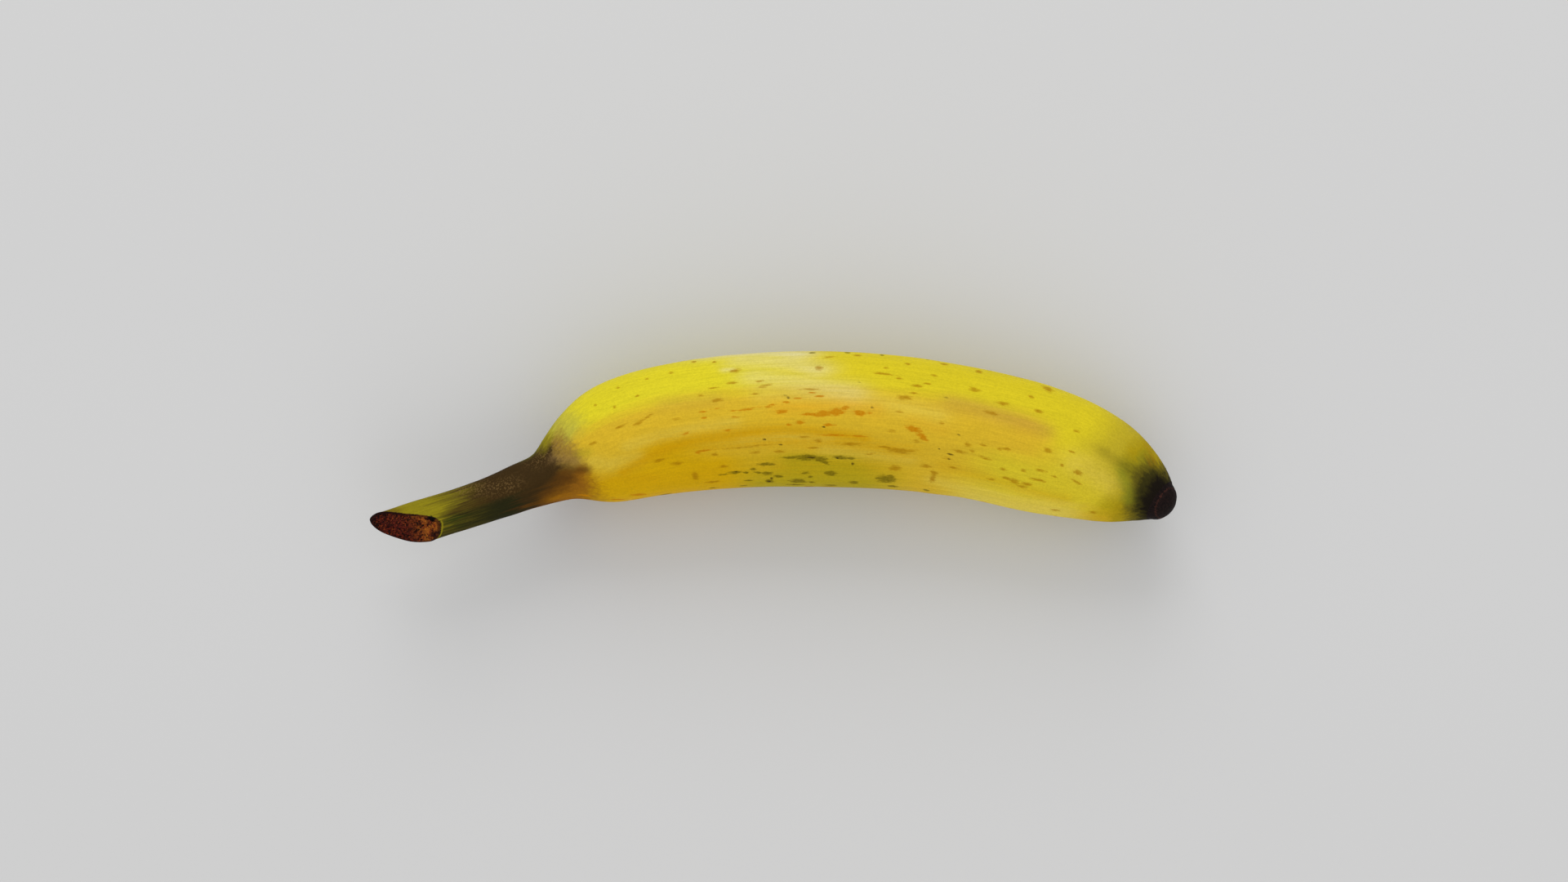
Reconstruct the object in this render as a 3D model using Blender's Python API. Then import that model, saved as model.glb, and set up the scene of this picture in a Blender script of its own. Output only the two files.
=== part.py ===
"""A whole banana lying on its side, built as the one solid that it grew as.

The fruit is lofted: rings are set out along a curved core line, from the cut end of the stalk, over the
neck and the body, to the black nub where the flower was. The loft is then sliced twice, obliquely
where the finger was cut from its hand, and level where the skin lies flat on the table.

Metres, +Z up. X runs from the stalk to the tip, +Y is the bulging back, and the table is at Z = 0.
"""

import math

import bmesh
import bpy
import numpy as np
from mathutils import Vector

MM = 0.001

# Stations along the core, in millimetres: x and y of the ring's centre in plan, the ring's radius,
# and how far the ring's lowest point is above the table.
STATIONS = (
    # x, y, radius, clearance
    (-108.0, -24.8, 5.7, 19.4),  # beyond the slice, so that the slice cuts clean through
    (-90.2, -18.8, 5.7, 17.5),  # stalk
    (-76.0, -14.2, 5.8, 15.7),
    (-66.6, -10.6, 6.4, 13.9),
    (-61.2, -8.5, 7.1, 12.2),  # neck
    (-57.0, -6.1, 9.2, 9.3),
    (-52.4, -3.6, 12.3, 5.6),  # shoulder
    (-47.6, -1.4, 14.6, 2.9),
    (-39.9, 1.7, 16.2, 0.9),
    (-27.8, 4.6, 17.0, 0.1),  # body
    (-9.4, 6.7, 17.6, 0.0),
    (11.5, 7.3, 17.9, 0.0),
    (32.5, 6.3, 17.8, 0.0),
    (52.4, 3.5, 17.3, 0.0),
    (70.8, -0.8, 16.8, 0.2),
    (83.4, -4.7, 15.2, 2.0),  # taper
    (92.8, -8.9, 12.4, 5.9),
    (99.1, -12.2, 8.9, 10.5),
    (102.6, -14.4, 5.9, 14.9),  # base of the nub
)

# The nub is a short dried dome, as (distance past the last station, radius), in millimetres.
NUB = ((0.7, 5.4), (1.6, 4.9), (2.6, 4.2), (3.4, 3.2), (4.0, 2.1), (4.3, 1.1))

# A banana is a soft pentagon in section: five ridges with flatter faces between them.
RIDGES = 5
RIDGE_HEIGHT = 0.028  # share of the radius
TOP_RIDGE = math.radians(90)  # one ridge faces straight up, so one face lies on the table

REST_DEPTH = 0.3 * MM  # how much the skin is pressed flat where it lies on the table

# The slice through the stalk: where its plane crosses the core line, and how far the plane leans,
# as the rise of the cut for each millimetre towards the inner side and towards the top.
SLICE_AT = 10.5 * MM  # along the core line from its start
SLICE_LEAN_INNER = 1.1
SLICE_LEAN_TOP = 0.95

RING_SPACING = 2.6 * MM
SIDES = 36
SPLINE_SAMPLES = 2000

PEEL_YELLOW = (0.71, 0.55, 0.05, 1.0)
PEEL_ROUGHNESS = 0.45


def spline_through(knots, values, at):
    """A natural cubic spline through the values at the knots, read at the given places."""
    step = np.diff(knots)
    slope = np.diff(values, axis=0) / step[:, None]
    count = len(knots)
    system = np.eye(count)
    wanted = np.zeros_like(values)
    for i in range(1, count - 1):
        system[i, i - 1 : i + 2] = step[i - 1], 2 * (step[i - 1] + step[i]), step[i]
        wanted[i] = 3 * (slope[i] - slope[i - 1])
    bend = np.linalg.solve(system, wanted)
    i = np.clip(np.searchsorted(knots, at) - 1, 0, count - 2)
    h = step[i][:, None]
    t = (at - knots[i])[:, None]
    first = slope[i] - h * (2 * bend[i] + bend[i + 1]) / 3
    return values[i] + first * t + bend[i] * t**2 + (bend[i + 1] - bend[i]) * t**3 / (3 * h)


def core_line():
    """The core as rows of x, y, z and radius, in metres, at an even spacing along it."""
    table = np.array(STATIONS) * MM
    radius = table[:, 2]
    height = table[:, 3] + radius * (1 - RIDGE_HEIGHT) - REST_DEPTH
    rows = np.column_stack([table[:, :2], height, radius])
    chords = np.linalg.norm(np.diff(rows[:, :3], axis=0), axis=1)
    knots = np.concatenate([[0], np.cumsum(chords)])
    fine = spline_through(knots, rows, np.linspace(0, knots[-1], SPLINE_SAMPLES))
    steps = np.linalg.norm(np.diff(fine[:, :3], axis=0), axis=1)
    along = np.concatenate([[0], np.cumsum(steps)])
    rings = round(along[-1] / RING_SPACING) + 1
    even = np.linspace(0, along[-1], rings)
    return np.column_stack([np.interp(even, along, fine[:, k]) for k in range(4)])


def ring_frames():
    """Each ring as its centre, its direction along the core, its radius and its ridge height."""
    core = core_line()
    directions = np.gradient(core[:, :3], axis=0)
    frames = [
        (Vector(row[:3]), Vector(ahead).normalized(), row[3], RIDGE_HEIGHT)
        for row, ahead in zip(core.tolist(), directions.tolist())
    ]
    end, ahead, _, _ = frames[-1]
    for past, radius in NUB:
        frames.append((end + ahead * past * MM, ahead, radius * MM, 0.0))
    return frames


def ring_points(centre, ahead, radius, ridge):
    """The soft pentagon round one place on the core. Angle 0 is the back and 90 degrees the top."""
    back = Vector((0, 0, 1)).cross(ahead).normalized()
    top = ahead.cross(back)
    points = []
    for side in range(SIDES):
        angle = 2 * math.pi * side / SIDES
        reach = radius * (1 + ridge * math.cos(RIDGES * (angle - TOP_RIDGE)))
        points.append(centre + reach * (math.cos(angle) * back + math.sin(angle) * top))
    return points


def add_ring(bm, points):
    """One closed loop of edges through the points."""
    verts = [bm.verts.new(p) for p in points]
    return [bm.edges.new((a, b)) for a, b in zip(verts, verts[1:] + verts[:1])]


def loft(bm, rings):
    """Bridges each ring to the next and closes both ends."""
    loops = [add_ring(bm, points) for points in rings]
    for before, after in zip(loops, loops[1:]):
        bmesh.ops.bridge_loops(bm, edges=before + after)
    for loop in (loops[0], loops[-1]):
        bmesh.ops.contextual_create(bm, geom=loop)
    bmesh.ops.recalc_face_normals(bm, faces=bm.faces[:])


def slice_off(bm, point, outward):
    """Cuts away everything outward of a plane and closes the cut with one flat face."""
    whole = bm.verts[:] + bm.edges[:] + bm.faces[:]
    made = bmesh.ops.bisect_plane(
        bm, geom=whole, plane_co=point, plane_no=outward, clear_outer=True
    )
    rim = [e for e in made["geom_cut"] if isinstance(e, bmesh.types.BMEdge)]
    bmesh.ops.contextual_create(bm, geom=rim)


def stalk_slice():
    """A point on the slice through the stalk, and the slice's outward normal."""
    start, ahead, _, _ = ring_frames()[0]
    back = Vector((0, 0, 1)).cross(ahead).normalized()
    top = ahead.cross(back)
    outward = -ahead - SLICE_LEAN_INNER * back + SLICE_LEAN_TOP * top
    return start + SLICE_AT * ahead, outward.normalized()


def centre_on_table(bm):
    """Moves the fruit in plan only, until the middle of its outline is over the origin."""
    points = np.array([v.co for v in bm.verts])
    middle = (points.min(axis=0) + points.max(axis=0)) / 2
    bmesh.ops.translate(bm, vec=(-middle[0], -middle[1], 0), verts=bm.verts[:])


def peel_material():
    material = bpy.data.materials.new("banana_peel")
    material.use_nodes = True
    shader = material.node_tree.nodes["Principled BSDF"]
    shader.inputs["Base Color"].default_value = PEEL_YELLOW
    shader.inputs["Roughness"].default_value = PEEL_ROUGHNESS
    shader.inputs["Metallic"].default_value = 0.0
    return material


def build_banana():
    bm = bmesh.new()
    loft(bm, [ring_points(*frame) for frame in ring_frames()])
    slice_off(bm, *stalk_slice())
    slice_off(bm, Vector((0, 0, 0)), Vector((0, 0, -1)))
    bmesh.ops.recalc_face_normals(bm, faces=bm.faces[:])
    centre_on_table(bm)
    mesh = bpy.data.meshes.new("banana")
    bm.to_mesh(mesh)
    bm.free()
    mesh.materials.append(peel_material())
    mesh.shade_smooth()
    mesh.set_sharp_from_angle(angle=math.radians(40))
    banana = bpy.data.objects.new("banana", mesh)
    bpy.context.scene.collection.objects.link(banana)
    return banana


def main():
    for old in list(bpy.data.objects):
        bpy.data.objects.remove(old)
    build_banana()


main()
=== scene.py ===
# %% [markdown]
# # A ripe banana, from the stalk to the nub
#
# This lesson dresses one grown fruit. The shape is a sweep: rings of a soft pentagon follow a curved
# core line. The looks are paint on a map of the fruit, where one direction runs along it and the other
# runs round it. Everything the eye reads as banana follows that map, from the fine lengthwise fibres to
# the ripeness spots, so the map is made first and each finish only asks it where it is.

# %% Load the solid that the looks are built round
import math

import bmesh
import bpy
import numpy as np
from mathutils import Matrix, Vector


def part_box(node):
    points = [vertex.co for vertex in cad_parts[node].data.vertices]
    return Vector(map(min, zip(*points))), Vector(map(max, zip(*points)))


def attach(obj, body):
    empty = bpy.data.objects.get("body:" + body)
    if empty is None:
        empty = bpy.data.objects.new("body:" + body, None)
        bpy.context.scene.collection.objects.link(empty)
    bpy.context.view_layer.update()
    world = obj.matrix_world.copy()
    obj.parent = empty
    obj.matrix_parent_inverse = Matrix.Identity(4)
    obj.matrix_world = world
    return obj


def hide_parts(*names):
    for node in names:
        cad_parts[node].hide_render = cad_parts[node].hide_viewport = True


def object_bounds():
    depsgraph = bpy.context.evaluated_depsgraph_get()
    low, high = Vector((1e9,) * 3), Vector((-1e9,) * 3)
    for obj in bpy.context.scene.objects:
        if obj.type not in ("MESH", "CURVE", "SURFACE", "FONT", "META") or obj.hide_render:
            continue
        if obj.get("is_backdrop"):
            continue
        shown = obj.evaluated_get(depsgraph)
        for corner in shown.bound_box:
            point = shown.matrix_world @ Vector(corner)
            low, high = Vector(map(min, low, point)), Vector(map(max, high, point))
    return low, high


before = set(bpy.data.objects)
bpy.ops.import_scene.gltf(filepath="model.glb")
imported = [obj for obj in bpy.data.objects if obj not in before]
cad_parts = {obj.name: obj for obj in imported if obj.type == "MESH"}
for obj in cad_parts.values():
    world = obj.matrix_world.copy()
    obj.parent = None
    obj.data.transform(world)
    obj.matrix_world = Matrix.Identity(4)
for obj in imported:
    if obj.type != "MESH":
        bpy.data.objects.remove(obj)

MM = 0.001
cad_low, cad_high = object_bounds()
fruit_low, fruit_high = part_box("banana")
fruit_middle = (fruit_low + fruit_high) / 2
print("fruit box in mm:", [round(v / MM, 1) for v in fruit_high - fruit_low])


def put(name, data):
    """A new object in the scene, at the origin."""
    thing = bpy.data.objects.new(name, data)
    bpy.context.scene.collection.objects.link(thing)
    return thing


# %% [markdown]
# ## Camera, floor and light
#
# A banana lies on its side, so its curve is level and the camera looks straight down on it. A long lens
# from a metre away keeps the ends from swelling. The light is mostly an even white sky, which gives
# soft, nearly shadowless shading, and a wide panel above the back adds the broad sheen of waxy skin.
# The floor sits a hair under the fruit, because two faces at one height would flicker.

# %% Camera
VIEW_WIDTH = 0.419  # metres from side to side of the view, at the height of the core
LENS = 85
SENSOR = 36
VIEW_SHIFT = Vector((0.0028, 0.0015, 0))  # the fruit lies a little left of and below the middle

camera = put("camera", bpy.data.cameras.new("camera"))
camera.data.lens = LENS
camera.data.sensor_width = SENSOR
camera.data.clip_start = 0.01
distance = VIEW_WIDTH * LENS / SENSOR
camera.location = fruit_middle + VIEW_SHIFT + Vector((0, 0, distance))
bpy.context.scene.camera = camera
print("camera is", round(distance, 3), "m above the core")

# %% Floor and light
FLOOR_GREY = 0.65
FLOOR_DROP = 0.2 * MM
FLOOR_REACH = 4  # metres each way from the fruit
SKY_STRENGTH = 0.78

floor_mesh = bpy.data.meshes.new("floor")
corners = [(x * FLOOR_REACH, y * FLOOR_REACH, 0) for x, y in ((-1, -1), (1, -1), (1, 1), (-1, 1))]
floor_mesh.from_pydata(corners, [], [(0, 1, 2, 3)])
floor = put("floor", floor_mesh)
floor.location.z = -FLOOR_DROP
floor_paint = bpy.data.materials.new("floor_paint")
floor_paint.use_nodes = True
floor_shader = floor_paint.node_tree.nodes["Principled BSDF"]
floor_shader.inputs["Base Color"].default_value = (FLOOR_GREY, FLOOR_GREY, FLOOR_GREY, 1)
floor_shader.inputs["Roughness"].default_value = 0.9
floor_shader.inputs["Specular IOR Level"].default_value = 0.1
floor_mesh.materials.append(floor_paint)
floor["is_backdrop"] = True

sky = bpy.data.worlds.new("sky")
sky.use_nodes = True
background = sky.node_tree.nodes["Background"]
background.inputs["Color"].default_value = (1, 1, 1, 1)
background.inputs["Strength"].default_value = SKY_STRENGTH
bpy.context.scene.world = sky
bpy.context.scene.view_settings.view_transform = "Standard"


def add_panel(name, place, size, power):
    """A square light panel that faces the fruit."""
    lamp = bpy.data.lights.new(name, "AREA")
    lamp.shape = "SQUARE"
    lamp.size = size
    lamp.energy = power
    panel = put(name, lamp)
    panel.location = place
    panel.rotation_euler = Vector(place).to_track_quat("Z", "Y").to_euler()


add_panel("back_panel", place=(-0.1, 1.3, 0.9), size=0.9, power=7.0)
add_panel("front_panel", place=(0.3, -1.2, 1.1), size=1.2, power=2.5)

# %% [markdown]
# ## A short way to write nodes
#
# Every tree below is built in code. One helper adds a node, sets its menus, and fills each input with
# either a plain value or another node's output. An output is wrapped as a Flow, so that a sum reads as
# it would on paper: each sign between flows adds one Math node. Small helpers cover the blends and the
# noises that come up again and again, in shader trees and in geometry trees alike.

# %% Flows and nodes
class Flow:
    """One output of a node. Each sign between flows adds a Math node to their tree."""

    def __init__(self, socket):
        self.socket = socket

    def __add__(self, other):
        return sum_of("ADD", self, other)

    def __sub__(self, other):
        return sum_of("SUBTRACT", self, other)

    def __rsub__(self, other):
        return sum_of("SUBTRACT", other, self)

    def __mul__(self, other):
        return sum_of("MULTIPLY", self, other)

    def __truediv__(self, other):
        return sum_of("DIVIDE", self, other)

    def __rtruediv__(self, other):
        return sum_of("DIVIDE", other, self)


def feed(node, inputs):
    """Fills a node's inputs, keyed by name or number, with values or flows."""
    for key, value in inputs.items():
        if isinstance(value, Flow):
            node.id_data.links.new(value.socket, node.inputs[key])
        else:
            node.inputs[key].default_value = value


def add(tree, kind, inputs=None, **settings):
    """Adds one node."""
    made = tree.nodes.new(kind)
    for name, value in settings.items():
        setattr(made, name, value)
    feed(made, inputs or {})
    return made


def flow(tree, kind, inputs=None, out=0, **settings):
    """Adds one node and gives one of its outputs."""
    return Flow(add(tree, kind, inputs, **settings).outputs[out])


def flows(node):
    """All of a node's outputs by name."""
    return {output.name: Flow(output) for output in node.outputs}


def tree_of(*values):
    """The tree that the flows among these values belong to."""
    return next(v.socket.id_data for v in values if isinstance(v, Flow))


# %% Sums, blends and noises
def sum_of(operation, *terms, clamp=False):
    """One Math node."""
    inputs = dict(enumerate(terms))
    return flow(tree_of(*terms), "ShaderNodeMath", inputs, operation=operation, use_clamp=clamp)


def vector_of(operation, a, b=(0, 0, 0)):
    """One Vector Math node that gives a vector."""
    return flow(tree_of(a, b), "ShaderNodeVectorMath", {0: a, 1: b}, "Vector", operation=operation)


def scaled(vector, by):
    """A vector times a number."""
    inputs = {0: vector, "Scale": by}
    return flow(tree_of(vector), "ShaderNodeVectorMath", inputs, "Vector", operation="SCALE")


def xyz(x=0.0, y=0.0, z=0.0):
    """A vector from its three parts."""
    return flow(tree_of(x, y, z), "ShaderNodeCombineXYZ", {0: x, 1: y, 2: z})


def rising(value, low, high, top=1.0):
    """0 below low, top above high, and a smooth rise between them. It falls if low is over high."""
    inputs = {"Value": value, "From Min": low, "From Max": high, "To Min": 0.0, "To Max": top}
    return flow(tree_of(value), "ShaderNodeMapRange", inputs, interpolation_type="SMOOTHSTEP")


def noise(vector, size, detail=2.0, roughness=0.5, seed=0.0):
    """Cloudy values from 0 to 1 whose blobs are about size across."""
    inputs = {"Vector": vector, "W": seed, "Scale": 1 / size, "Detail": detail, "Roughness": roughness}
    return flow(tree_of(vector), "ShaderNodeTexNoise", inputs, noise_dimensions="4D")


def group_of(kind, name, inputs, outputs):
    """An empty node group with these named sockets, and the flows that come in through them."""
    tree = bpy.data.node_groups.new(name, kind + "NodeTree")
    for way, sockets in (("INPUT", inputs), ("OUTPUT", outputs)):
        for socket, sort in sockets.items():
            tree.interface.new_socket(name=socket, in_out=way, socket_type="NodeSocket" + sort)
    return tree, flows(tree.nodes.new("NodeGroupInput"))


# %% [markdown]
# ## The core line
#
# A banana has no straight part. Its spine is a smooth curve through a few places, and each place has a
# radius and a height over the table. A natural cubic spline is the curve that a thin strip of wood takes
# between pins, which is why it suits something that grew. The places are those of the solid, so the skin
# lands on it.

# %% Places along the core
STATIONS = (
    # x, y, radius, clearance over the table, all in millimetres
    (-108.0, -24.8, 5.7, 19.4),
    (-90.2, -18.8, 5.7, 17.5),  # stalk
    (-76.0, -14.2, 5.8, 15.7),
    (-66.6, -10.6, 6.4, 13.9),
    (-61.2, -8.5, 7.1, 12.2),  # neck
    (-57.0, -6.1, 9.2, 9.3),
    (-52.4, -3.6, 12.3, 5.6),  # shoulder
    (-47.6, -1.4, 14.6, 2.9),
    (-39.9, 1.7, 16.2, 0.9),
    (-27.8, 4.6, 17.0, 0.1),  # body
    (-9.4, 6.7, 17.6, 0.0),
    (11.5, 7.3, 17.9, 0.0),
    (32.5, 6.3, 17.8, 0.0),
    (52.4, 3.5, 17.3, 0.0),
    (70.8, -0.8, 16.8, 0.2),
    (83.4, -4.7, 15.2, 2.0),  # taper
    (92.8, -8.9, 12.4, 5.9),
    (99.1, -12.2, 8.9, 10.5),
    (102.6, -14.4, 5.9, 14.9),  # base of the nub
)
RIDGE = 0.028  # how far the five ridges stand out, as a share of the radius
PRESSED = 0.3 * MM  # how deep the skin is pressed flat where it lies on the table
CUT_AT = 10.5 * MM  # where the slanting cut crosses the core
LEAN_INNER = 1.1
LEAN_TOP = 0.95
SPLINE_SAMPLES = 4000


def spline_through(knots, values, at):
    """A natural cubic spline through the values at the knots, read at the given places."""
    step = np.diff(knots)
    slope = np.diff(values, axis=0) / step[:, None]
    count = len(knots)
    system = np.eye(count)
    wanted = np.zeros_like(values)
    for i in range(1, count - 1):
        system[i, i - 1 : i + 2] = step[i - 1], 2 * (step[i - 1] + step[i]), step[i]
        wanted[i] = 3 * (slope[i] - slope[i - 1])
    bend = np.linalg.solve(system, wanted)
    i = np.clip(np.searchsorted(knots, at) - 1, 0, count - 2)
    h = step[i][:, None]
    t = (at - knots[i])[:, None]
    first = slope[i] - h * (2 * bend[i] + bend[i + 1]) / 3
    return values[i] + first * t + bend[i] * t**2 + (bend[i + 1] - bend[i]) * t**3 / (3 * h)


table = np.array(STATIONS) * MM
heights = table[:, 3] + table[:, 2] * (1 - RIDGE) - PRESSED
pins = np.column_stack([table[:, :2], heights, table[:, 2]])
chords = np.linalg.norm(np.diff(pins[:, :3], axis=0), axis=1)
knots = np.concatenate([[0], np.cumsum(chords)])
fine = spline_through(knots, pins, np.linspace(0, knots[-1], SPLINE_SAMPLES))
steps = np.linalg.norm(np.diff(fine[:, :3], axis=0), axis=1)
reached = np.concatenate([[0], np.cumsum(steps)])
CORE_LENGTH = float(reached[-1])
print("core line is", round(CORE_LENGTH / MM, 1), "mm long")

# %% [markdown]
# ## One row of facts for each ring
#
# The skin has three stretches. The cut end of the stalk is rings that grow from a point to the rim, all
# in one slanting plane. The skin proper follows the core, and its first rings keep the cut's slant, which
# dies away over a few centimetres so that later rings stand square. The nub is a small dome whose rings
# shrink to a point. Each ring gets its centre, its direction, its radius, how much it leans, and how
# rough it is, and a Geometry Nodes tree does the rest.

# %% Ring table
RING_STEP = 0.52 * MM
LEAN_FADES = 28 * MM
CUT_RINGS = 24
NUB_RINGS = 34
NECK_MIDDLE, NECK_REACH, TIP_REACH = 40 * MM, 26 * MM, 16 * MM  # where the skin is rougher
NUB_PROFILE = (  # distance past the last station and radius, in millimetres
    (0.0, 5.90), (0.3, 5.62), (0.6, 5.40), (1.0, 5.20), (1.4, 5.02), (1.8, 4.80), (2.2, 4.52),
    (2.6, 4.18), (3.0, 3.72), (3.3, 3.28), (3.6, 2.76), (3.9, 2.12), (4.1, 1.56), (4.22, 1.02),
    (4.28, 0.50), (4.3, 0.0),
)


def core_at(places):
    """Centres, directions and radii of the core at these distances along it."""
    before, rows, after = (
        np.column_stack([np.interp(places + step, reached, column) for column in fine.T])
        for step in (-0.5 * MM, 0, 0.5 * MM)
    )
    ahead = (after - before)[:, :3]
    return rows[:, :3], ahead / np.linalg.norm(ahead, axis=1)[:, None], rows[:, 3]


def fade(x):
    """1 at 0, falling smoothly to 0 at 1."""
    x = np.clip(x, 0, 1)
    return 1 - x * x * (3 - 2 * x)


def ring_rows():
    """Every ring from the middle of the cut to the end of the nub, as a dictionary of columns."""
    share = np.linspace(0, 1, CUT_RINGS) ** 0.8 * 0.985
    cut_centre, cut_ahead, cut_radius = core_at(np.array([CUT_AT]))
    places = np.linspace(CUT_AT, CORE_LENGTH, round((CORE_LENGTH - CUT_AT) / RING_STEP) + 1)
    centre, ahead, radius = core_at(places)
    nub = np.array(NUB_PROFILE) * MM
    row = np.arange(len(nub))
    dense = np.interp(np.arange(1, NUB_RINGS + 1) / NUB_RINGS, np.linspace(0, 1, len(nub)), row)
    past, nub_radius = (np.interp(dense, row, column) for column in nub.T)

    lip = 0.35 * np.exp(-(((share - 0.96) / 0.035) ** 2)) - 0.45 * fade(share / 0.9)
    neck = fade(np.abs(places - NECK_MIDDLE) / NECK_REACH)
    tip = fade((CORE_LENGTH - places) / TIP_REACH)
    columns = {
        "centre": (np.repeat(cut_centre, CUT_RINGS, 0), centre, centre[-1] + ahead[-1] * past[:, None]),
        "ahead": (np.repeat(cut_ahead, CUT_RINGS, 0), ahead, np.repeat(ahead[-1:], len(past), 0)),
        "reach": (share * cut_radius, radius, nub_radius),
        "lean": (share * cut_radius, radius * fade((places - CUT_AT) / LEAN_FADES), 0 * past),
        "along": (CUT_AT + 0 * share, places, CORE_LENGTH + past),
        "rim": ((share - 1) * cut_radius, places - CUT_AT, CORE_LENGTH - CUT_AT + past),
        "ridge": (0 * share + RIDGE, RIDGE * (1 - 0.9 * tip**2), 0.003 + 0 * past),
        "rough": (
            MM * 0.24 * fade((share - 0.85) / 0.15),
            MM * (0.03 + 0.13 * neck + 0.16 * tip**2),
            MM * 0.2 * np.minimum(1, nub_radius / (2 * MM)),
        ),
        "relief": (MM * lip, MM * 0.16 * np.exp(-((places - CUT_AT) / (0.7 * MM))), 0 * past),
        "cut": (0 * share + 1, 0 * places, 0 * past),
    }
    return {name: np.concatenate(parts) for name, parts in columns.items()}


rings = ring_rows()
print(len(rings["reach"]), "rings:", CUT_RINGS, "on the cut and the rest down the skin and nub")

# %% Core mesh that carries the table
def keep(mesh, name, column):
    """Keeps a column of numbers or of vectors on the mesh's points."""
    kind, field = ("FLOAT_VECTOR", "vector") if column.ndim == 2 else ("FLOAT", "value")
    holder = mesh.attributes.new(name, kind, "POINT")
    holder.data.foreach_set(field, column.astype(np.float32).ravel())


core_mesh = bpy.data.meshes.new("core")
core_mesh.from_pydata(rings["centre"].tolist(), [], [])
for name, column in rings.items():
    if name != "centre":
        keep(core_mesh, name, column)
print("core mesh carries", [a.name for a in core_mesh.attributes])

# %% [markdown]
# ## The skin, wrapped round the core by Geometry Nodes
#
# The skin could be sculpted, or drawn with a curve and a bevel, but its shape follows a rule, so a tree
# states the rule once. A flat grid has one row for each ring and one column for each side. Every grid
# point looks up its ring's facts and works out where it belongs: out from the core along a spoke, by a
# radius that swells at five ridges. The grid keeps a spare column where its edges meet, so the map of
# the skin has no seam fault, and the two edges are then merged. Noise gives the slight dents of a real
# fruit and the dried wrinkles at its ends, and nothing may go below the table.

# %% Helpers for geometry trees
def passed(geometry, step, inputs=None, **settings):
    """The geometry after one more step, such as SetPosition."""
    inputs = {"Geometry": geometry, **(inputs or {})}
    return flow(tree_of(geometry), "GeometryNode" + step, inputs, **settings)


def stored(geometry, name, value, kind="FLOAT", domain="POINT"):
    """Keeps a value on the mesh under a name that materials can read."""
    inputs = {"Name": name, "Value": value}
    return passed(geometry, "StoreNamedAttribute", inputs, data_type=kind, domain=domain)


def kept(tree, name, kind="FLOAT"):
    """A column that the mesh carries."""
    return flow(tree, "GeometryNodeInputNamedAttribute", {"Name": name}, data_type=kind)


def looked_up(core, ring, name):
    """One of the core's columns, read at the ring that a grid point belongs to."""
    tree, kind = tree_of(core), "FLOAT_VECTOR" if rings[name].ndim == 2 else "FLOAT"
    column = flow(tree, "GeometryNodeInputPosition") if name == "centre" else kept(tree, name, kind)
    return passed(core, "SampleIndex", {"Value": column, "Index": ring}, data_type=kind)


# %% Skin tree
HOLLOW_CORNER = -0.6  # how much the hollow side of the cut is torn the other way
DENT_SIZE = 19 * MM
WRINKLE_SIZE = 1.3 * MM
SEAM_GAP = 0.002 * MM  # points nearer than this are merged


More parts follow.
